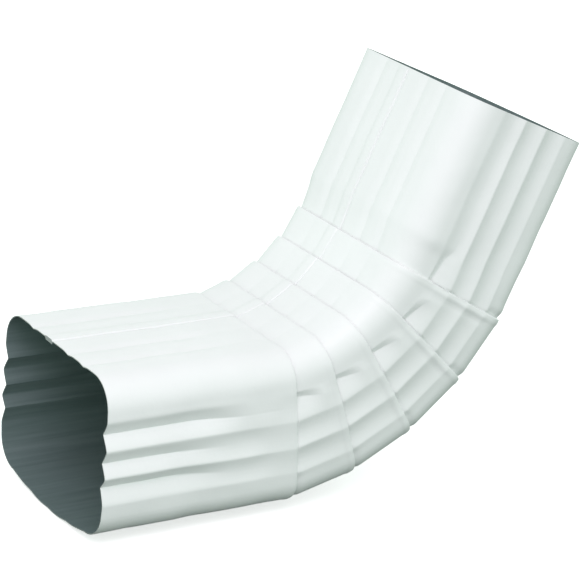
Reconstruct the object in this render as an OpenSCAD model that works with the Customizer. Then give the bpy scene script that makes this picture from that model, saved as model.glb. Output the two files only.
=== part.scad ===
// Downspout elbow, folded from one sheet: a corrugated rectangular duct with a lock seam down the
// inside of the bend and five crimped laps that turn it. Water runs in at the leaning upper arm
// and out at the level lower arm. Millimetres, with the origin in the middle of the inlet.
// Throat means the face on the inside of the bend, and heel the face on its outside.

/* [Duct section] */
// Width across the throat face, outside the sheet
duct_w = 108; // [95:1:120]
// Depth from the throat face to the heel face, outside the sheet
duct_d = 82.6; // [75:0.2:90]
// Outside radius of the four long corners
corner_r = 15.5; // [12:0.5:18]
// How far the middle of each side face bows out
side_bow = 1.3; // [0:0.1:3]
// How far the middle of the heel face bows out
heel_bow = 4.6; // [0:0.1:6]
// Thickness of the painted sheet
sheet_t = 0.5; // [0.4:0.05:0.7]

/* [Corrugations] */
// Distance between neighbouring grooves on a side face
side_pitch = 14.9; // [14:0.1:16]
// Depth of the side grooves
side_depth = 4; // [2:0.1:4.5]
// Half the width of a side groove
side_half = 6.9; // [5:0.1:7]
// How far the middle side groove lies above the middle of the duct
side_shift = 1; // [-2:0.1:2]
// Depth of the grooves on the throat face
throat_depth = 1.3; // [0.5:0.1:2]
// Half the width of a throat groove
throat_half = 3.6; // [2:0.1:4]
// Depth of the grooves on the heel face
heel_depth = 1; // [0.5:0.1:2]
// Half the width of a heel groove
heel_half = 5; // [3:0.1:7]

/* [Lock seam] */
// How far the seam lies from the middle of the throat face
seam_at = 9; // [6:0.5:10]
// Width of the folded seam
seam_w = 7; // [5:0.5:8]
// How far the seam's cover sheet stands proud outside
seam_rise = 0.5; // [0.3:0.05:0.8]
// How far the seam's folded layers reach into the duct
seam_fold = 1.2; // [0.8:0.1:2]

/* [Bend and arms] */
// Angle between the flow in and the flow out
bend_angle = 67.5; // [60:0.5:75]
// Radius of the bend along the throat face
throat_r = 77.5; // [70:0.5:90]
// Length of the lower arm, from its mouth to the start of the bend
lower_len = 92.5; // [70:0.5:150]
// Length of the upper arm, from the end of the bend to its mouth
upper_len = 82; // [70:0.5:150]

/* [Crimped laps] */
// Number of laps
lap_count = 5; // [4:1:6]
// Length of the folded overlap at the throat
lap_throat = 8.5; // [6:0.5:10]
// Length of the folded overlap at the heel
lap_heel = 4; // [3:0.5:5]
// Space between the folded layers
lap_gap = 0.3; // [0.2:0.05:0.4]
// How far the rolled bead of a lip stands above the sheet
bead_rise = 0.4; // [0.2:0.1:0.8]
// Length over which the sheet widens again at the heel, once it has come out of a lip
neck_len = 5; // [3:0.5:8]
// Share of the groove depth that the crimping leaves in a lap
lap_groove = 0.12; // [0.05:0.01:0.5]
// Depth of the crease where the side groove next to the throat comes out of a lip
crease_depth = 3; // [0:0.5:4]

/* [Hidden] */

// Number of flat steps round each corner
corner_steps = 5;
lap_step = bend_angle / lap_count;
bend_r = throat_r + duct_d / 2;
// Distance between two lips along the throat
gore_throat = 2 * throat_r * tan(lap_step / 2);
// How far the sheet sinks to pass under a lip: two more layers and two gaps
lap_sink = 2 * (sheet_t + lap_gap);
// Share of a lap's length that lies past the plane on which the bend turns
lap_past = 0.15;
// At the throat each piece rises in a straight line from under one lip to the next lip. It starts
// this deep, and a lap's inner fold lies lap_tilt deeper than its lip.
throat_sink = lap_sink + lap_past * lap_throat * tan(lap_step);
lap_tilt = throat_sink * lap_throat / gore_throat;
inlet_centre = [bend_r * sin(bend_angle) + upper_len * cos(bend_angle), 0,
    bend_r * (1 - cos(bend_angle)) + upper_len * sin(bend_angle)];

// The duct's outline. It is a ring of points, counter-clockwise as seen from downstream of it.
// Each holds its place across and up, the outward direction there, and what the folds do to it:
// how far a groove sinks it, how far the crease sinks it, and the seam's rise outside and inside.
function mark(along, sink = 0, crease = 0, rise = 0, fold = 0) = [along, sink, crease, rise, fold];

function groove(middle, half, depth, crease = 0) = [
    mark(middle - half),
    mark(middle, depth, crease),
    mark(middle + half),
];

// One flat or bowed face, facing the direction turn, with its marks given along it
function face(half, reach, bow, turn, marks) = [
    for (m = concat([mark(-half)], marks, [mark(half)]))
        let (
            out = [cos(turn), sin(turn)],
            side = [-sin(turn), cos(turn)],
            at = out * (reach + bow * (1 - pow(m[0] / half, 2))) + side * m[0]
        )
        [at.x, at.y, out.x, out.y, m[1], m[2], m[3], m[4]]
];

// The inner points of the corner between the face at turn and the next one
function corner(middle, turn) = [
    for (i = [1:corner_steps - 1])
        let (a = turn + 90 * i / corner_steps)
        [middle.x + corner_r * cos(a), middle.y + corner_r * sin(a), cos(a), sin(a), 0, 0, 0, 0]
];

side_flat = duct_d / 2 - corner_r;
wide_flat = duct_w / 2 - corner_r;
far_marks = [
    for (i = [-1:1])
        each groove(side_shift + i * side_pitch, side_half, side_depth, i == 1 ? crease_depth : 0)
];
near_marks = [
    for (i = [-1:1])
        each groove(i * side_pitch - side_shift, side_half, side_depth, i == -1 ? crease_depth : 0)
];
throat_marks = concat(
    groove(-seam_at - 16.5, throat_half, throat_depth),
    [
        mark(-seam_at - seam_w / 2 - 0.6),
        mark(-seam_at - seam_w / 2 + 0.6, 0, 0, seam_rise, seam_fold),
        mark(-seam_at + seam_w / 2 - 0.3, 0, 0, seam_rise, seam_fold),
        mark(-seam_at + seam_w / 2, 0.4, 0, 0, seam_fold),
        mark(-seam_at + seam_w / 2 + 1.2),
    ],
    groove(-seam_at + 20.5, throat_half, throat_depth),
    groove(-seam_at + 36, throat_half, throat_depth)
);
heel_marks = [for (i = [-1:1]) each groove(i * 19, heel_half, heel_depth)];

outline = concat(
    face(side_flat, duct_w / 2, side_bow, 0, far_marks),
    corner([wide_flat, side_flat], 0),
    face(wide_flat, duct_d / 2, 0, 90, throat_marks),
    corner([-wide_flat, side_flat], 90),
    face(side_flat, duct_w / 2, side_bow, 180, near_marks),
    corner([-wide_flat, -side_flat], 180),
    face(wide_flat, duct_d / 2, heel_bow, 270, heel_marks),
    corner([wide_flat, -side_flat], 270)
);

// A station carries the outline to one place on the duct. It holds how far the bend has turned
// there, the way the piece heads, how much the slant of a lap stretches the depth, the shares of
// groove and crease, and, each at the throat and at the heel, the distance along the duct and the
// offset from its nominal outside.
function station(turn, heading, along, offset, grooves, crease = 0) =
    [turn, heading, 1 / cos(heading - turn), along, offset, grooves, crease];

function arm(turn, along, offset, grooves, crease = 0) =
    station(turn, turn, [along, along], [offset, offset], grooves, crease);

// Lap k lies round the plane between two straight pieces and heads the way of the first. reach
// runs from 0 at the fold inside the lap to 1 at the lip, and along shifts the station from there.
function lap(k, reach, along, offset, tilt = lap_tilt, crease = 0) =
    let (slant = (k - 0.5) * lap_step, past = reach - 1 + lap_past)
    [slant, (k - 1) * lap_step, 1 / cos(lap_step / 2),
        [along + past * lap_throat, along + past * lap_heel],
        [offset - (1 - reach) * tilt, offset], lap_groove, crease];

// The sheet widened again after lap k: wholly at the heel, but at the throat only by the next lip.
// The grooves are back, deep in the upper arm and half as deep in a gore.
function widened(k, offset) =
    station((k - 0.5) * lap_step, k * lap_step,
        [neck_len + lap_past * lap_throat, neck_len + lap_past * lap_heel],
        [offset - throat_sink * (1 - neck_len / gore_throat), offset],
        k == lap_count ? 0.9 : 0.5, 0.7);

// The lower arm meets its lap level, and a gore meets its lap on the rise
function meeting_tilt(k) = k == 1 ? 0 : lap_tilt;

// The sheet's outside from the outlet to the inlet. At each lap it runs over the fold to the
// beaded lip, turns in under it, runs back to the end of the gap and comes out as the next piece.
outside = concat(
    [arm(0, -lower_len, 0, 1), arm(0, -0.45 * lower_len, 0, 0.85)],
    [
        for (k = [1:lap_count])
            each [
                lap(k, 0, -1, 0, meeting_tilt(k)),
                lap(k, 1, -1.3, bead_rise),
                lap(k, 1, 0, bead_rise / 2),
                lap(k, 1, -0.3, lap_gap - lap_sink),
                lap(k, 0, 0.6, lap_gap - lap_sink),
                lap(k, 0, 0.6, -lap_sink),
                lap(k, 1, 0.2, -lap_sink, lap_tilt, 1),
                widened(k, 0),
            ]
    ],
    [arm(bend_angle, 0.3 * upper_len, 0, 1), arm(bend_angle, upper_len, 0, 1)]
);

// The sheet's inside from the outlet to the inlet, one sheet thickness within the outside
inside = concat(
    [arm(0, -lower_len, -sheet_t, 1), arm(0, -0.45 * lower_len, -sheet_t, 0.85)],
    [
        for (k = [1:lap_count])
            each [
                lap(k, 0, -1, -sheet_t, meeting_tilt(k)),
                lap(k, 1, -0.9, -sheet_t),
                lap(k, 1, -0.9, lap_gap + sheet_t - lap_sink),
                lap(k, 0, 0, lap_gap + sheet_t - lap_sink),
                lap(k, 0, 0, -lap_sink - sheet_t),
                lap(k, 1, 0.2, -lap_sink - sheet_t, lap_tilt, 1),
                widened(k, -sheet_t),
            ]
    ],
    [arm(bend_angle, 0.3 * upper_len, -sheet_t, 1), arm(bend_angle, upper_len, -sheet_t, 1)]
);

// Where a point of the outline lies on a station, with the seam's layers on that side of the sheet
function place(st, pt, seam_layers) =
    let (
        throat_share = min(1, max(0, 0.5 + pt[1] / duct_d)),
        shares = [throat_share, 1 - throat_share],
        offset = st[4] * shares + seam_layers - pt[4] * st[5] - pt[5] * st[6],
        across = pt[0] + pt[2] * offset,
        up = pt[1] + pt[3] * offset,
        along = st[3] * shares,
        radius = (bend_r - up) * st[2]
    )
    [
        radius * sin(st[0]) + along * cos(st[1]),
        across,
        bend_r - radius * cos(st[0]) + along * sin(st[1]),
    ];

module elbow() {
    rings = concat(
        [for (st = outside) [for (pt = outline) place(st, pt, pt[6])]],
        [for (i = [len(inside) - 1:-1:0]) [for (pt = outline) place(inside[i], pt, -pt[7])]]
    );
    n = len(outline);
    m = len(rings);
    color("white")
    translate(-inlet_centre)
    polyhedron(
        points = [for (ring = rings) each ring],
        faces = [
            for (i = [0:m - 1], j = [0:n - 1])
                let (
                    a = i * n + j,
                    b = i * n + (j + 1) % n,
                    c = ((i + 1) % m) * n + (j + 1) % n,
                    d = ((i + 1) % m) * n + j
                )
                each [[a, c, b], [a, d, c]]
        ]
    );
}

elbow();
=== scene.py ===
import math

import bpy
import numpy as np
from mathutils import Matrix, Vector


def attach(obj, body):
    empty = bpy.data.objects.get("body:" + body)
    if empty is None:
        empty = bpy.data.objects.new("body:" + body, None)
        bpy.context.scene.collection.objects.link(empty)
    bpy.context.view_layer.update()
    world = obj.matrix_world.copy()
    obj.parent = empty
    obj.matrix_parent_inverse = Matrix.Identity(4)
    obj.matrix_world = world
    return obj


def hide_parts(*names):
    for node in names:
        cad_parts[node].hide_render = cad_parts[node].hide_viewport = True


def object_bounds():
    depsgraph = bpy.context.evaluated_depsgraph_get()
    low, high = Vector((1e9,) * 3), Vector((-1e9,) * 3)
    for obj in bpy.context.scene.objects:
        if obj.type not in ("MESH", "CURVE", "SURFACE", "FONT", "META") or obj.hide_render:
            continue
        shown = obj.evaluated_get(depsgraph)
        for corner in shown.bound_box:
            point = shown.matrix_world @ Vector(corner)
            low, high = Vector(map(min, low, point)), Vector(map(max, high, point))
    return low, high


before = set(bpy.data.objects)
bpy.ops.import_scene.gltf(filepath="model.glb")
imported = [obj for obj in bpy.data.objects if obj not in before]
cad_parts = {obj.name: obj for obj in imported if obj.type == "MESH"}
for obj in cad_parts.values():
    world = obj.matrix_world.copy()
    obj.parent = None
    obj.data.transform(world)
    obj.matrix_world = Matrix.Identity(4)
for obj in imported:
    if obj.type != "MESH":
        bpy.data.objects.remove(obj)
cad_box = [list(corner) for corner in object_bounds()]


# The duct's outline
# The elbow starts as a straight duct, roll-formed from one strip of painted sheet. Its outline is a rectangle with
# round corners, three grooves in each side face, shallow ones in the throat and heel faces, and the lock seam that
# closes the strip along the throat. Every length is in millimetres until the mesh is made.
duct_width, duct_depth, corner_radius = 108, 82.6, 15.5
side_bow, heel_bow = 1.3, 4.6
sheet = 0.5
side_pitch, side_depth, side_shift = 14.9, 4.0, 1.0
throat_depth, throat_half = 0.85, 4.8
heel_pitch, heel_depth, heel_half = 19, 0.5, 7.5
seam_at, seam_width, seam_rise, seam_fold = 9, 7, 0.5, 1.2
point_gap, corner_steps = 1.6, 11

side_flat = duct_depth / 2 - corner_radius
wide_flat = duct_width / 2 - corner_radius
side_half = side_pitch / 2
side_middles = side_shift + side_pitch * np.array([1, 0, -1])
side_crests = side_shift + side_pitch * np.array([1.5, 0.5, -0.5, -1.5])


def trough(from_middle, hollow=0.0):
    """How deep a groove is, as a share of its depth, at a distance from its middle in half widths: a V with soft
    crests, or, as hollow goes to 1, a scallop."""
    from_middle = np.clip(np.abs(from_middle), 0, 1)
    depth = (1 - hollow) * (1 - from_middle) + hollow * (1 - from_middle ** 2)
    return 1.17 * depth ** 2 / (depth + 0.17)


def face_places(half, middles, half_groove, extra=()):
    """Places along a face: even steps, closer round the bottom of each groove, and any extra ones."""
    even = np.linspace(-half, half, int(2 * half / point_gap) + 1)
    close = [m + s * half_groove for m in middles for s in (-0.5, -0.25, -0.08, 0, 0.08, 0.25, 0.5)]
    fixed = np.array([-half, half, *extra])
    fixed = np.concatenate([fixed, [u for u in close if np.abs(fixed - u).min() > 0.3]])
    free = [u for u in even if np.abs(fixed - u).min() > 0.45 * point_gap]
    return np.unique(np.concatenate([fixed, free]))


def rows(places, directions, **marks):
    """Points of the outline with their outward directions, and what the rolling and the crimping do to each: how far
    a wide face's groove sinks it and how well that stays in a gore, how many half widths it lies from each of a side
    face's grooves, whether it moves with them, how far the crimping pinches it, and the seam's rise and fold."""
    made = {"across": places[:, 0], "up": places[:, 1], "out_across": directions[:, 0], "out_up": directions[:, 1]}
    for name, usual in (("sunk", 0), ("stays", 0), ("from_first", 1), ("from_second", 1), ("from_third", 1),
                        ("moves", 0), ("springs", 0), ("pinch", 0), ("rise", 0), ("fold", 0)):
        made[name] = np.ones(len(places)) * marks.get(name, usual)
    return made


def face_rows(places, half, reach, bow, turn, **marks):
    out = np.array([math.cos(turn), math.sin(turn)])
    side = np.array([-math.sin(turn), math.cos(turn)])
    at = np.outer(reach + bow * (1 - (places / half) ** 2), out) + np.outer(places, side)
    return rows(at, np.tile(out, (len(places), 1)), **marks)


def corner_rows(middle, turn, **marks):
    """The inner points of the corner that follows the face at turn."""
    angle = turn + np.arange(1, corner_steps) / corner_steps * math.pi / 2
    out = np.column_stack([np.cos(angle), np.sin(angle)])
    return rows(np.array(middle) + corner_radius * out, out, **marks)


def side_rows(turn, towards_throat):
    """A side face with its three grooves. Past a lip the one next to the throat is pinched into a crease, and the
    face below it springs out again."""
    close = [*side_crests, *(side_crests[1:] - 0.8), *(side_crests[1:] + 0.8)]
    close += [side_middles[0] + step for step in (-2.1, -1, -0.4, 0, 0.5, 1.2, 2.1, 3.2, 4.4, 5.6, 6.6)]
    heights = face_places(side_flat, side_middles[1:], side_half, close)[::towards_throat]
    from_each = [np.clip((heights - m) / side_half, -1, 1) for m in side_middles]
    return face_rows(heights * towards_throat, side_flat, duct_width / 2, side_bow, turn,
                     from_first=from_each[0], from_second=from_each[1], from_third=from_each[2], moves=1,
                     springs=np.interp(heights, [-side_flat, -side_flat + 5, side_middles[0], side_crests[0]],
                                       [0, 1, 1, 0.1]),
                     pinch=np.clip(from_each[0] / 0.35, 0, 1))


def throat_rows():
    """The wide face with the lock seam, which stands proud outside and lies thick inside."""
    middles = [-seam_at - 16.5, -seam_at + 20.5, -seam_at + 36]
    left, right = -seam_at - seam_width / 2, -seam_at + seam_width / 2
    edges = (left - 0.6, left, left + 0.6, right - 0.9, right - 0.3, right, right + 0.5, right + 1.2)
    places = face_places(wide_flat, middles, throat_half, edges)
    sunk = sum(throat_depth * trough((places - m) / throat_half) for m in middles)
    sunk += np.interp(places, [right - 0.3, right, right + 1.2], [0, 0.4, 0], left=0, right=0)
    rise = np.interp(places, [left - 0.6, left + 0.6, right - 0.9, right - 0.3, right], [0, 1, 1, 0.8, 0])
    fold = np.interp(places, [left - 0.6, left + 0.6, right, right + 0.5], [0, 1, 1, 0])
    return face_rows(places, wide_flat, duct_depth / 2, 0, math.pi / 2, sunk=sunk, stays=2.2,
                     rise=rise * seam_rise, fold=fold * seam_fold)


def heel_rows():
    """The wide face on the outside of the bend, bowed and nearly plain."""
    middles = [-heel_pitch, 0, heel_pitch]
    places = face_places(wide_flat, middles, heel_half)
    return face_rows(places, wide_flat, duct_depth / 2, heel_bow, 1.5 * math.pi, stays=1,
                     sunk=sum(heel_depth * trough((places - m) / heel_half) for m in middles))


corner_shares = np.arange(1, corner_steps) / corner_steps
stretches = [side_rows(0, 1), corner_rows([wide_flat, side_flat], 0, pinch=1 - corner_shares), throat_rows(),
             corner_rows([-wide_flat, side_flat], math.pi / 2, pinch=corner_shares), side_rows(math.pi, -1),
             corner_rows([-wide_flat, -side_flat], math.pi), heel_rows(),
             corner_rows([wide_flat, -side_flat], 1.5 * math.pi)]
outline = {name: np.concatenate([stretch[name] for stretch in stretches]) for name in stretches[0]}


# The bend and its laps
# The straight duct is turned by crimping: five times the sheet is pinched into a Z-fold that runs all the way
# round, deep at the throat and shallow at the heel, so each turns the duct a fifth of the way. The sheet sinks to
# pass under the beaded lip of each fold, and the lip faces up the flow, so water runs from the upper arm into it.
bend_turn, lap_count = math.radians(67.5), 5
throat_radius = 77.5
lower_length, upper_length = 92.5, 82
lap_lengths, lap_past, lap_gap = np.array([8.5, 4]), 0.15, 0.3
bead_lengths, neck_length, spring_length = np.array([7.6, 8.4]), 5, 0.8
lap_groove, gore_groove, upper_groove = 0.12, 0.33, 0.38
crease_groove, pinch_depth = 0.85, 0.6
lap_turn = bend_turn / lap_count
bend_radius = throat_radius + duct_depth / 2
lap_sink = 2 * (sheet + lap_gap)
half_gores = np.array([throat_radius, throat_radius + duct_depth]) * math.tan(lap_turn / 2)
gore_lengths = 2 * half_gores
sinks = lap_sink + np.array([1, -1]) * lap_past * lap_lengths * math.tan(lap_turn)
throat_slope = sinks[0] / gore_lengths[0]


def ring(turn, heading, along, offset, side, grooves=lap_groove, shifts=0, hollow=1, pinch=0, sprung=None, give=0,
         swell=0):
    """The outline carried to one place on the duct, in the bend's own frame with its axis at the origin. heading is
    the way the piece runs. along and offset are each given at the throat and at the heel, and so is sprung, the
    offset of the side faces. side is the side of the sheet. grooves holds the shares of the three side grooves and
    of the wide faces' grooves, shifts how far each side crest and groove bottom lies nearer the throat, from that
    end, and hollow which grooves are scallops. give says how easily the sheet dents and swell how far the crimping
    lifts it at the heel; both are below zero on the inside."""
    first, second, third, wide = np.broadcast_to(grooves, 4)
    first_hollow, hollow = np.broadcast_to(hollow, 2)
    knots = np.sort(np.concatenate([side_crests, side_middles]))
    moved = np.interp(outline["up"], [-side_flat, *knots, side_flat],
                      [-side_flat, *(knots + np.broadcast_to(shifts, 7)[::-1]), side_flat])
    up = outline["up"] + outline["moves"] * (moved - outline["up"])
    share = np.clip(0.5 + up / duct_depth, 0, 1)
    shares = np.stack([share, 1 - share])
    out = np.array(offset) @ shares
    if sprung is not None:
        out += outline["springs"] * (np.array(sprung) @ shares - out)
    out -= side_depth * (first * trough(outline["from_first"], first_hollow)
                         + second * trough(outline["from_second"], hollow)
                         + third * trough(outline["from_third"], hollow))
    out -= np.minimum(wide * outline["stays"], 1) * outline["sunk"]
    out -= pinch_depth * outline["pinch"] * pinch
    out += outline["rise"] if side == "outside" else -outline["fold"]
    radius = (bend_radius - up - outline["out_up"] * out) / math.cos(heading - turn)
    along = np.array(along) @ shares
    return np.column_stack([radius * math.sin(turn) + along * math.cos(heading),
                            outline["across"] + outline["out_across"] * out,
                            along * math.sin(heading) - radius * math.cos(turn)]), give, swell * outline["springs"] * shares[1]


def lap_ring(lap, reach, along, offset, side, **settings):
    """A lap heads the way of the piece below it. reach runs from 0 at the fold inside the lap to 1 at its lip. The
    fold lies deeper at the throat than the lip."""
    return ring((lap - 0.5) * lap_turn, (lap - 1) * lap_turn, along + (reach - 1 + lap_past) * lap_lengths,
                np.array(offset) - [(1 - reach) * throat_slope * lap_lengths[0], 0], side, **settings)


def smooth(share):
    share = min(1, max(0, share))
    return share * share * (3 - 2 * share)


def widened(run, base):
    """Offsets of the sheet on its way out of a lip, from the distances run at the throat and at the heel, and that
    of the side faces. It widens at once at the heel and sides, but at the throat in a straight line that only the
    next lip ends."""
    return ((base - sinks[0] * max(0, 1 - run[0] / gore_lengths[0]),
             base - sinks[1] * (1 - smooth(run[1] / neck_length))),
            np.full(2, base - 0.4 * lap_sink * (1 - smooth((np.mean(run) - 0.2) / spring_length))))


def over_lap(lap, side, grooves, shifts):
    """Rings from where the sheet reaches a lap to the end of the fold inside it, on one side of the sheet. The lower
    arm meets its lap level, and a gore meets its lap on the rise. The grooves it brings fade by the lip."""
    slope = 0 if lap == 1 else throat_slope
    bead = np.array([0.1, 0.25])
    base, rings = 0 if side == "outside" else -sheet, []
    for share in np.linspace(0, 1, 15 if side == "outside" else 6):
        rise = math.sin(math.pi * max(0, 2 * share - 1)) ** 1.5
        lift = rise - 0.8 * math.sin(math.pi * min(1, share / 0.6)) ** 2
        sprung = base + bead * rise
        rings.append(lap_ring(lap, 1, -0.25 - bead_lengths * (1 - share),
                              sprung - [slope * bead_lengths[0] * (1 - share), 0], side, sprung=sprung,
                              grooves=lap_groove + (np.array(grooves) - lap_groove) * (1 - share) ** 0.8,
                              shifts=shifts, swell=lift if side == "outside" else -lift))
    if side == "inside":
        under = (lap_gap + sheet - lap_sink, lap_gap + sheet - lap_sink)
        return rings + [lap_ring(lap, 1, -0.9, under, side), lap_ring(lap, 0, 0.3, under, side)]
    middle, half = (lap_gap - lap_sink) / 2, (lap_sink - lap_gap) / 2
    for angle in (30, 60, 90, 120, 150):
        bulge = math.radians(angle)
        depth = middle + half * math.cos(bulge)
        rings.append(lap_ring(lap, 1, -0.25 + 0.45 * math.sin(bulge), (depth, depth), side))
    under = (lap_gap - lap_sink, lap_gap - lap_sink)
    return rings + [lap_ring(lap, 1, -0.4, under, side), lap_ring(lap, 0, 0.6, under, side)]


def out_of_lap(lap, side, grooves, shifts):
    """Rings from the end of the fold inside a lap to where the sheet comes out from under its lip."""
    base = -lap_sink if side == "outside" else -lap_sink - sheet
    under = lap_gap - lap_sink if side == "outside" else lap_gap + sheet - lap_sink
    rings = [lap_ring(lap, 0, 0.6 if side == "outside" else 0.3, (under, under), side)]
    if side == "inside":
        middle, half = lap_gap / 2 - lap_sink, lap_gap / 2 + sheet
        for angle in (45, 90, 135):
            bulge = math.radians(angle)
            depth = middle + half * math.cos(bulge)
            rings.append(lap_ring(lap, 0, 0.3 - 0.5 * math.sin(bulge), (depth, depth), side))
    rings.append(lap_ring(lap, 0, 0.6, (base, base), side))
    for reach, along, share, lift in ((0.6, 0, 0.15, 0), (1, -0.4, 0.4, 0), (1, 0.2, 0.7, 0.6)):
        rings.append(lap_ring(lap, reach, along, (base, base), side, shifts=np.array(shifts) * share, pinch=share,
                              grooves=lap_groove + (np.array(grooves) - lap_groove) * share,
                              hollow=(1 - share, 1), sprung=np.full(2, base + lift * lap_sink)))
    return rings


def sheet_piece(outside, inside, cut_start, cut_end):
    """Joins the rings of both sides of the sheet. cut_start and cut_end close it with the sheet's bare cut edge."""
    rings = outside + inside
    points = np.vstack([r[0] for r in rings])
    count, split = len(outline["up"]), len(outside)
    give = np.repeat([r[1] for r in rings], count)
    swell = np.concatenate([r[2] for r in rings])
    here = np.arange(count)
    beside = np.roll(here, -1)
    faces, skins = [], []

    def band(first, second, skin, flip=False):
        quads = np.column_stack([first * count + here, first * count + beside, second * count + beside,
                                 second * count + here])
        faces.append(quads[:, ::-1] if flip else quads)
        skins.append(np.full(count, skin))

    for i in range(split - 1):
        band(i, i + 1, 0)
    for i in range(split, len(rings) - 1):
        band(i, i + 1, 1, flip=True)
    if cut_start:
        band(0, split, 2, flip=True)
    if cut_end:
        band(split - 1, len(rings) - 1, 2)
    return points, np.vstack(faces), np.concatenate(skins), give, swell, split


# The lower arm runs level from the outlet to the first lap. Its grooves are full and sharp at the mouth, with a short
# wall towards the throat, and each fades out in its own way towards the bend, as the crimping draws the sheet.
mouth_shifts = np.array([-1.3, -1.1, -1.1, -0.8, -0.4, 1.5, 0])
faded_shifts = np.array([-1.3, -1.6, -1.3, -1.4, -1.2, -0.6, 0])
faded_grooves = (0.1, 0.13, 0.14, lap_groove)


def lower_rings(side, count):
    rings = []
    for share in np.linspace(0, 1, count)[:-1]:
        along = -lower_length + share * (lower_length + half_gores - bead_lengths + lap_past * lap_lengths - 0.5)
        base = 0 if side == "outside" else -sheet
        grooves = (1 - 0.9 * smooth((share - 0.5) / 0.33),
                   0.95 - 0.6 * smooth((share - 0.25) / 0.45) - 0.22 * smooth((share - 0.8) / 0.2),
                   0.9 - 0.6 * smooth((share - 0.35) / 0.38) - 0.16 * smooth((share - 0.8) / 0.2),
                   1 - (1 - lap_groove) * smooth((share - 0.3) / 0.68))
        faded = smooth((share - 0.4) / 0.35)
        give = min(1, 6 * share, 12 * (1 - share))
        rings.append(ring(0, 0, along, (base, base), side, grooves, mouth_shifts + (faded_shifts - mouth_shifts) * faded,
                          (0, faded), give=give if side == "outside" else -give))
    return rings


lower_arm = sheet_piece(lower_rings("outside", 34) + over_lap(1, "outside", faded_grooves, faded_shifts),
                        lower_rings("inside", 18) + over_lap(1, "inside", faded_grooves, faded_shifts), True, False)


# The gores are the wedge-shaped pieces between two laps. All four are alike, so one is made, from the first lap to
# the second, and the crimping turns it on. A gore comes out of one lip creased and ends nearly plain in the next.
crease_start = np.array([-1.5, 2.6, -1.6, -1.4, -1.2, -1, -0.8])
crease_end = np.array([-2.2, -0.4, -1.6, -1.4, -1.2, -1, -0.8])
gore_end = ((0.05, 0.24, 0.24, lap_groove), crease_end)


def gore_rings(side, shares):
    rings = []
    for share in shares:
        turn = (0.5 + share) * lap_turn
        start, end = lap_past * lap_lengths + 0.2, lap_past * lap_lengths - bead_lengths - 0.5
        run = 0.2 + share * (gore_lengths + end - start)
        offset, sprung = widened(run, 0 if side == "outside" else -sheet)
        left = gore_groove + (gore_end[0][1] - gore_groove) * share ** 1.5
        wide = gore_groove + (lap_groove - gore_groove) * share
        rings.append(ring(turn, lap_turn, start + share * (end - start), offset, side,
                          (gore_end[0][0] + (crease_groove - gore_end[0][0]) * (1 - share ** 2) ** 1.3, left,
                           left, wide),
                          crease_start + (crease_end - crease_start) * share, (0, 1),
                          pinch=(1 - share) ** 2,
                          sprung=sprung))
    return rings


gore_shares = (0.02, 0.05, 0.09, 0.14, 0.2, 0.27, 0.35, 0.43, 0.52, 0.62, 0.73, 0.85, 0.97)
gore_start = ((crease_groove, gore_groove, gore_groove, gore_groove), crease_start)
gore = sheet_piece(out_of_lap(1, "outside", *gore_start) + gore_rings("outside", gore_shares)
                   + over_lap(2, "outside", *gore_end),
                   out_of_lap(1, "inside", *gore_start) + gore_rings("inside", gore_shares[1::2])
                   + over_lap(2, "inside", *gore_end), False, False)


# The upper arm comes out of the last lap and leans up to the inlet. Its grooves are scallops, which begin right at
# the lip, and the crease of the first one ends in a small hook.
upper_shifts = np.array([-1.5, -2.6, -1.2, -1, -0.8, -0.6, -0.4])
crease_reach = 19.5


def upper_rings(side, shares):
    rings = []
    for share in shares:
        start = lap_past * lap_lengths - half_gores + 0.2
        along = start + share * (upper_length - start)
        run = along - start + 0.2
        offset, sprung = widened(run, 0 if side == "outside" else -sheet)
        gone = (0.75 * run[0] + 0.25 * run[1]) / crease_reach
        crease = smooth((1.1 - gone) / 0.45)
        shifts = crease_start + (crease_end - crease_start) * min(1, gone)
        give = min(1, 12 * share, 6 * (1 - share))
        rings.append(ring(bend_turn, bend_turn, along, offset, side,
                          (upper_groove + (crease_groove - upper_groove) * max(0, 1 - gone ** 2) ** 1.3, upper_groove,
                           upper_groove, 1 - 0.5 * smooth(1 - run[1] / 12)),
                          upper_shifts + (shifts - upper_shifts) * crease, (1 - crease, 1), pinch=crease ** 2,
                          sprung=sprung, give=give if side == "outside" else -give))
    return rings


upper_shares = (0.005, 0.012, 0.02, 0.03, 0.045, 0.06, 0.08, 0.1, 0.12, 0.14, 0.16, 0.18, 0.2, 0.22, 0.24, 0.27, 0.31,
                0.36, 0.42, 0.5, 0.58, 0.67, 0.76, 0.85, 0.93, 1)
upper_start = ((crease_groove, upper_groove, upper_groove, 0.5), crease_start)
upper_arm = sheet_piece(out_of_lap(lap_count, "outside", *upper_start) + upper_rings("outside", upper_shares),
                        out_of_lap(lap_count, "inside", *upper_start) + upper_rings("inside", upper_shares[1::2]),
                        False, True)


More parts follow.
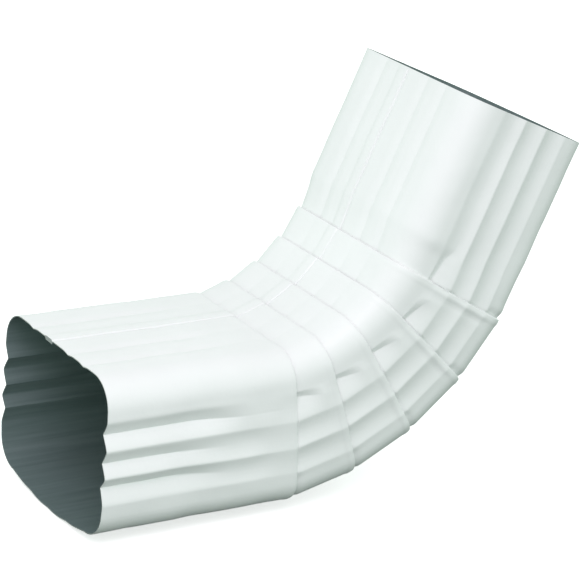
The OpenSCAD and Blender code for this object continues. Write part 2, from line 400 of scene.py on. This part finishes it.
# From three pieces of mesh to one folded sheet
# On the real elbow nothing is joined here: it is one strip of sheet from mouth to mouth. The gore is repeated round
# the bend, welded to both arms, and dented a little, as thin sheet is by the crimping.
def sheet_object(name, piece, first_along):
    """A mesh of the piece in metres, with its skin, its give and a map of the flat sheet: round the duct and along."""
    points, faces, skins, give, swell, split = piece
    mesh = bpy.data.meshes.new(name)
    mesh.from_pydata((points * 0.001).tolist(), [], faces.tolist())
    mesh.attributes.new("skin", "INT", "FACE").data.foreach_set("value", skins.astype(np.int32))
    mesh.attributes.new("give", "FLOAT", "POINT").data.foreach_set("value", give)
    mesh.attributes.new("swell", "FLOAT", "POINT").data.foreach_set("value", swell)
    count = len(outline["up"])
    sides = np.hypot(*[np.roll(outline[name], -1) - outline[name] for name in ("across", "up")])
    around = np.concatenate([[0], np.cumsum(sides)])
    climbs = np.linalg.norm(np.diff(points.reshape(-1, count, 3), axis=0), axis=2).mean(1)
    along = first_along + np.concatenate([[0], np.cumsum(climbs[:split - 1]), [0], np.cumsum(climbs[split:])])
    ring_of, place_of = np.divmod(faces, count)
    last = place_of.max(1, keepdims=True) == count - 1
    flat = np.stack([around[np.where((place_of == 0) & last, count, place_of)], along[ring_of]], -1) * 0.001
    mesh.uv_layers.new(name="Flat sheet").data.foreach_set("uv", flat.ravel())
    obj = bpy.data.objects.new(name, mesh)
    bpy.context.scene.collection.objects.link(obj)
    return obj


lower_object = sheet_object("lower_arm", lower_arm, 0)
gore_object = sheet_object("gore", gore, 100)
upper_object = sheet_object("upper_arm", upper_arm, 160)

crimping = bpy.data.node_groups.new("Crimped bend", "GeometryNodeTree")
crimping_inputs = {}
for label, kind, value in (
    ("Gore", "NodeSocketGeometry", None), ("Lower arm", "NodeSocketObject", None),
    ("Upper arm", "NodeSocketObject", None), ("Gore count", "NodeSocketInt", lap_count - 1),
    ("Turn per lap", "NodeSocketFloat", lap_turn), ("Weld distance", "NodeSocketFloat", 0.00002),
    ("Inlet from bend", "NodeSocketVector", None), ("Dent depth", "NodeSocketFloat", 0.0004),
    ("Dent size", "NodeSocketFloat", 0.022), ("Bead swell", "NodeSocketFloat", 0.00038),
    ("Sharp fold", "NodeSocketFloat", math.radians(50)),
    ("Outside paint", "NodeSocketMaterial", None), ("Inside coat", "NodeSocketMaterial", None),
    ("Cut edge", "NodeSocketMaterial", None),
):
    socket = crimping.interface.new_socket(name=label, in_out="INPUT", socket_type=kind)
    crimping_inputs[label] = socket.identifier
    if value is not None:
        socket.default_value = value
crimping.interface.new_socket(name="Elbow", in_out="OUTPUT", socket_type="NodeSocketGeometry")
given = crimping.nodes.new("NodeGroupInput")


def crimp_node(kind, **settings):
    """A node of the crimping tree, with its settings; values and links to its inputs are given by socket name."""
    made = crimping.nodes.new(kind)
    inputs = settings.pop("inputs", {})
    for setting, value in settings.items():
        setattr(made, setting, value)
    for label, value in inputs.items():
        if isinstance(value, bpy.types.NodeSocket):
            crimping.links.new(value, made.inputs[label])
        else:
            made.inputs[label].default_value = value
    return made.outputs


# A stack of points at the bend's axis, each turned one lap further, carries the gores. It also says how much the
# bead swells at the end of each: more from lap to lap.
stack = crimp_node("GeometryNodeMeshLine", mode="OFFSET",
                   inputs={"Count": given.outputs["Gore count"], "Offset": (0, 0, 0)})
place_in_bend = crimp_node("GeometryNodeInputIndex")
turned = crimp_node("ShaderNodeMath", operation="MULTIPLY",
                    inputs={0: place_in_bend[0], 1: given.outputs["Turn per lap"]})
backwards = crimp_node("ShaderNodeMath", operation="MULTIPLY", inputs={0: turned[0], 1: -1.0})
about_axis = crimp_node("ShaderNodeCombineXYZ", inputs={"Y": backwards[0]})
swelling = crimp_node("ShaderNodeMapRange", inputs={"Value": place_in_bend[0], "From Min": 0.0, "From Max": 3.0,
                                                    "To Min": 0.15, "To Max": 1.0})
marked = crimp_node("GeometryNodeStoreNamedAttribute", data_type="FLOAT", domain="POINT",
                    inputs={"Geometry": stack[0], "Name": "swelling", "Value": swelling[0]})
gores = crimp_node("GeometryNodeInstanceOnPoints",
                   inputs={"Points": marked[0], "Instance": given.outputs["Gore"], "Rotation": about_axis[0]})
loose_gores = crimp_node("GeometryNodeRealizeInstances", inputs={"Geometry": gores[0]})
arms = [crimp_node("GeometryNodeObjectInfo", inputs={"Object": given.outputs[label]})["Geometry"]
        for label in ("Lower arm", "Upper arm")]
strip = crimping.nodes.new("GeometryNodeJoinGeometry")
for part in (arms[1], loose_gores[0], arms[0]):
    crimping.links.new(part, strip.inputs[0])
welded = crimp_node("GeometryNodeMergeByDistance",
                    inputs={"Geometry": strip.outputs[0], "Distance": given.outputs["Weld distance"]})

# Dents push the sheet in where it gives, never out, so the elbow keeps its size.
dent_scale = crimp_node("ShaderNodeMath", operation="DIVIDE", inputs={0: 1.0, 1: given.outputs["Dent size"]})
dents = crimp_node("ShaderNodeTexNoise", noise_dimensions="3D", inputs={"Scale": dent_scale[0], "Detail": 1.0})
hollow = crimp_node("ShaderNodeMapRange",
                    inputs={"Value": dents[0], "From Min": 0.42, "From Max": 0.75, "To Min": 0.0, "To Max": -1.0})
give = crimp_node("GeometryNodeInputNamedAttribute", data_type="FLOAT", inputs={"Name": "give"})
giving = crimp_node("ShaderNodeMath", operation="MULTIPLY", inputs={0: hollow[0], 1: give["Attribute"]})
depth = crimp_node("ShaderNodeMath", operation="MULTIPLY",
                   inputs={0: giving[0], 1: given.outputs["Dent depth"]})
swell = crimp_node("GeometryNodeInputNamedAttribute", data_type="FLOAT", inputs={"Name": "swell"})
how_much = crimp_node("GeometryNodeInputNamedAttribute", data_type="FLOAT", inputs={"Name": "swelling"})
swelled = crimp_node("ShaderNodeMath", operation="MULTIPLY", inputs={0: swell["Attribute"], 1: how_much["Attribute"]})
lifted = crimp_node("ShaderNodeMath", operation="MULTIPLY_ADD",
                    inputs={0: swelled[0], 1: given.outputs["Bead swell"], 2: depth[0]})
outward = crimp_node("GeometryNodeInputNormal")
push = crimp_node("ShaderNodeVectorMath", operation="SCALE", inputs={0: outward[0], "Scale": lifted[0]})
dented = crimp_node("GeometryNodeSetPosition", inputs={"Geometry": welded[0], "Offset": push[0]})
placed = crimp_node("GeometryNodeTransform",
                    inputs={"Geometry": dented[0], "Translation": given.outputs["Inlet from bend"]})

# Shading is smooth except across the sharp edges of the cut sheet.
smooth = crimp_node("GeometryNodeSetShadeSmooth", domain="FACE", inputs={"Geometry": placed[0], "Shade Smooth": True})
fold_angle = crimp_node("GeometryNodeInputMeshEdgeAngle")
is_sharp = crimp_node("FunctionNodeCompare", data_type="FLOAT", operation="GREATER_THAN",
                      inputs={0: fold_angle["Unsigned Angle"], 1: given.outputs["Sharp fold"]})
creased = crimp_node("GeometryNodeSetShadeSmooth", domain="EDGE",
                     inputs={"Geometry": smooth[0], "Selection": is_sharp[0], "Shade Smooth": False})
skin = crimp_node("GeometryNodeInputNamedAttribute", data_type="INT", inputs={"Name": "skin"})
painted = creased
for number, label in enumerate(("Outside paint", "Inside coat", "Cut edge")):
    this_skin = crimp_node("FunctionNodeCompare", data_type="INT", operation="EQUAL",
                           inputs={2: skin["Attribute"], 3: number})
    painted = crimp_node("GeometryNodeSetMaterial",
                         inputs={"Geometry": painted[0], "Selection": this_skin[0], "Material": given.outputs[label]})
result = crimping.nodes.new("NodeGroupOutput")
crimping.links.new(painted[0], result.inputs[0])


# Three surfaces of the coil
# The strip comes from a coil with a white semi-gloss coat on the side that is seen and a thin dark grey wash on the
# back. Slitting and the saw leave bare aluminium at every edge. Rolling leaves faint lines along the duct.
def surface(name):
    """A material with a bare shader, its node adder and its linker."""
    material = bpy.data.materials.new(name)
    material.use_nodes = True
    nodes = material.node_tree.nodes
    shader = nodes["Principled BSDF"]

    def add(kind, settings=(), **inputs):
        made = nodes.new(kind)
        for setting, value in dict(settings).items():
            setattr(made, setting, value)
        for label, value in inputs.items():
            socket = made.inputs[label.replace("_", " ")]
            if isinstance(value, bpy.types.NodeSocket):
                material.node_tree.links.new(value, socket)
            else:
                socket.default_value = value
        return made

    def link(value, label):
        material.node_tree.links.new(value, shader.inputs[label])
    return material, shader, add, link


white_paint, shader, add, link = surface("white_coil_paint")
shader.inputs["Specular IOR Level"].default_value = 0.4
shader.inputs["IOR"].default_value = 1.5
shader.inputs["Coat Weight"].default_value = 0.08
shader.inputs["Coat Roughness"].default_value = 0.16
place = add("ShaderNodeTexCoord")
flat_sheet = add("ShaderNodeUVMap", {"uv_map": "Flat sheet"})
clouds = add("ShaderNodeTexNoise", Vector=place.outputs["Object"], Scale=22.0, Detail=3.0, Roughness=0.55)
tint = add("ShaderNodeValToRGB", Fac=clouds.outputs["Fac"])
tint.color_ramp.elements[0].position = 0.3
tint.color_ramp.elements[0].color = (0.84, 0.85, 0.85, 1)
tint.color_ramp.elements[1].position = 0.7
tint.color_ramp.elements[1].color = (0.87, 0.88, 0.88, 1)
link(tint.outputs["Color"], "Base Color")
draw_space = add("ShaderNodeMapping", Vector=flat_sheet.outputs["UV"], Scale=(900.0, 9.0, 1.0))
draw_lines = add("ShaderNodeTexNoise", {"noise_dimensions": "2D"}, Vector=draw_space.outputs["Vector"], Scale=1.0,
                 Detail=2.0)
peel = add("ShaderNodeTexNoise", Vector=place.outputs["Object"], Scale=620.0, Detail=1.0)
ripples = add("ShaderNodeTexNoise", Vector=place.outputs["Object"], Scale=85.0, Detail=2.0)
gloss = add("ShaderNodeMapRange", Value=draw_lines.outputs["Fac"], From_Min=0.3, From_Max=0.7, To_Min=0.40,
            To_Max=0.48)
link(gloss.outputs["Result"], "Roughness")
draw_bump = add("ShaderNodeBump", Height=draw_lines.outputs["Fac"], Strength=0.10, Distance=0.0002)
peel_bump = add("ShaderNodeBump", Height=peel.outputs["Fac"], Strength=0.12, Distance=0.0002,
                Normal=draw_bump.outputs["Normal"])
ripple_bump = add("ShaderNodeBump", Height=ripples.outputs["Fac"], Strength=0.25, Distance=0.0006,
                  Normal=peel_bump.outputs["Normal"])
link(ripple_bump.outputs["Normal"], "Normal")

inside_coat, shader, add, link = surface("grey_wash_coat")
shader.inputs["IOR"].default_value = 1.5
place = add("ShaderNodeTexCoord")
flat_sheet = add("ShaderNodeUVMap", {"uv_map": "Flat sheet"})
streak_space = add("ShaderNodeMapping", Vector=flat_sheet.outputs["UV"], Scale=(420.0, 14.0, 1.0))
streaks = add("ShaderNodeTexNoise", {"noise_dimensions": "2D"}, Vector=streak_space.outputs["Vector"], Scale=1.0,
              Detail=3.0)
tint = add("ShaderNodeValToRGB", Fac=streaks.outputs["Fac"])
tint.color_ramp.elements[0].position = 0.3
tint.color_ramp.elements[0].color = (0.13, 0.182, 0.18, 1)
tint.color_ramp.elements[1].position = 0.7
tint.color_ramp.elements[1].color = (0.165, 0.222, 0.22, 1)
link(tint.outputs["Color"], "Base Color")
grain = add("ShaderNodeTexNoise", Vector=place.outputs["Object"], Scale=500.0, Detail=1.0)
gloss = add("ShaderNodeMapRange", Value=streaks.outputs["Fac"], From_Min=0.3, From_Max=0.7, To_Min=0.48,
            To_Max=0.58)
link(gloss.outputs["Result"], "Roughness")
grain_bump = add("ShaderNodeBump", Height=grain.outputs["Fac"], Strength=0.12, Distance=0.0002)
link(grain_bump.outputs["Normal"], "Normal")

cut_metal, shader, add, link = surface("cut_aluminium_edge")
shader.inputs["Metallic"].default_value = 1.0
place = add("ShaderNodeTexCoord")
burrs = add("ShaderNodeTexNoise", Vector=place.outputs["Object"], Scale=900.0, Detail=2.0)
tint = add("ShaderNodeValToRGB", Fac=burrs.outputs["Fac"])
tint.color_ramp.elements[0].color = (0.42, 0.43, 0.44, 1)
tint.color_ramp.elements[1].color = (0.72, 0.73, 0.74, 1)
link(tint.outputs["Color"], "Base Color")
gloss = add("ShaderNodeMapRange", Value=burrs.outputs["Fac"], From_Min=0.3, From_Max=0.7, To_Min=0.28, To_Max=0.5)
link(gloss.outputs["Result"], "Roughness")

crimped = gore_object.modifiers.new("Crimped bend", "NODES")
crimped.node_group = crimping
inlet_from_bend = (-(bend_radius * math.sin(bend_turn) + upper_length * math.cos(bend_turn)) * 0.001, 0,
                   (bend_radius * math.cos(bend_turn) - upper_length * math.sin(bend_turn)) * 0.001)
for label, value in (("Lower arm", lower_object), ("Upper arm", upper_object), ("Inlet from bend", inlet_from_bend),
                     ("Outside paint", white_paint), ("Inside coat", inside_coat), ("Cut edge", cut_metal)):
    crimped[crimping_inputs[label]] = value
ready = gore_object.evaluated_get(bpy.context.evaluated_depsgraph_get())
elbow = bpy.data.objects.new("elbow_sheet", bpy.data.meshes.new_from_object(ready))
bpy.context.scene.collection.objects.link(elbow)
for scrap in (gore_object, lower_object, upper_object):
    bpy.data.objects.remove(scrap)
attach(elbow, "root")
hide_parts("elbow")


# The table that the elbow lies on
# A plain white light table: its own glow keeps the shadows on it faint, and it throws no light up at the elbow.
table_top = cad_box[0][2] - 0.0003
table_mesh = bpy.data.meshes.new("light_table")
table_mesh.from_pydata([(-8, -8, table_top), (8, -8, table_top), (8, 8, table_top), (-8, 8, table_top)], [],
                       [(0, 1, 2, 3)])
table = bpy.data.objects.new("light_table", table_mesh)
bpy.context.scene.collection.objects.link(table)
table_white, shader, add, link = surface("table_white")
place = add("ShaderNodeTexCoord")
clouds = add("ShaderNodeTexNoise", Vector=place.outputs["Object"], Scale=3.0, Detail=2.0)
tint = add("ShaderNodeValToRGB", Fac=clouds.outputs["Fac"])
tint.color_ramp.elements[0].color = (0.92, 0.92, 0.92, 1)
tint.color_ramp.elements[1].color = (0.94, 0.94, 0.94, 1)
link(tint.outputs["Color"], "Base Color")
shader.inputs["Roughness"].default_value = 0.9
shader.inputs["Specular IOR Level"].default_value = 0.1
shader.inputs["Emission Color"].default_value = (1, 1, 1, 1)
shader.inputs["Emission Strength"].default_value = 0.6
table_mesh.materials.append(table_white)
table.visible_diffuse = False
table.visible_glossy = False


# Soft studio light
# A white room that is brightest at eye level and dark below the table, and one soft box above and to the left of the
# viewer, turned towards the elbow.
room = bpy.data.worlds.new("studio_room")
room.use_nodes = True
room_nodes = room.node_tree.nodes
direction = room_nodes.new("ShaderNodeTexCoord")
height = room_nodes.new("ShaderNodeSeparateXYZ")
level = room_nodes.new("ShaderNodeMapRange")
level.inputs["From Min"].default_value = -1.0
walls = room_nodes.new("ShaderNodeValToRGB")
walls.color_ramp.elements[0].position = 0.2
walls.color_ramp.elements[0].color = (0.0, 0.0, 0.0, 1)
walls.color_ramp.elements[1].position = 1.0
walls.color_ramp.elements[1].color = (0.62, 0.66, 0.64, 1)
walls.color_ramp.elements.new(0.5).color = (1.03, 1.21, 1.11, 1)
for value, socket in ((direction.outputs["Generated"], height.inputs["Vector"]),
                      (height.outputs["Z"], level.inputs["Value"]), (level.outputs["Result"], walls.inputs["Fac"]),
                      (walls.outputs["Color"], room_nodes["Background"].inputs["Color"])):
    room.node_tree.links.new(value, socket)
room_nodes["Background"].inputs["Strength"].default_value = 1.0
bpy.context.scene.world = room

soft_box = bpy.data.lights.new("soft_box", "AREA")
soft_box.shape = "RECTANGLE"
soft_box.size = 0.5
soft_box.size_y = 0.5
soft_box.energy = 2.9
soft_box.color = (1.0, 0.802, 0.967)
soft_box_stand = bpy.data.objects.new("soft_box", soft_box)
soft_box_place = Vector((-0.1, 0, -0.1)) + Vector((-0.45, -0.55, 0.7)).normalized() * 0.9
soft_box_stand.location = soft_box_place
soft_box_stand.rotation_euler = (Vector((-0.1, 0, -0.1)) - soft_box_place).to_track_quat("-Z", "Y").to_euler()
bpy.context.scene.collection.objects.link(soft_box_stand)


# The camera
# It stands below left of the elbow's near side, as the photograph was taken, tilted a little to the right.
camera_turn, camera_rise, camera_roll = math.radians(-33.91), math.radians(20.0), math.radians(5.31)
camera_distance, focal_length = 1.278, 155.99
camera_aim = Vector((-0.10176, 0, -0.09547))
away = Vector((math.sin(camera_turn) * math.cos(camera_rise), -math.cos(camera_turn) * math.cos(camera_rise),
               math.sin(camera_rise)))
right = Vector((math.cos(camera_turn), math.sin(camera_turn), 0))
above = away.cross(right)
rolled_right = right * math.cos(camera_roll) + above * math.sin(camera_roll)
rolled_above = above * math.cos(camera_roll) - right * math.sin(camera_roll)
lens = bpy.data.cameras.new("camera")
lens.lens = focal_length
lens.sensor_width = 36
camera = bpy.data.objects.new("camera", lens)
camera.matrix_world = Matrix.Translation(camera_aim + away * camera_distance) @ Matrix(
    (rolled_right, rolled_above, away)).transposed().to_4x4()
bpy.context.scene.collection.objects.link(camera)
bpy.context.scene.camera = camera
bpy.context.scene.view_settings.view_transform = "Standard"
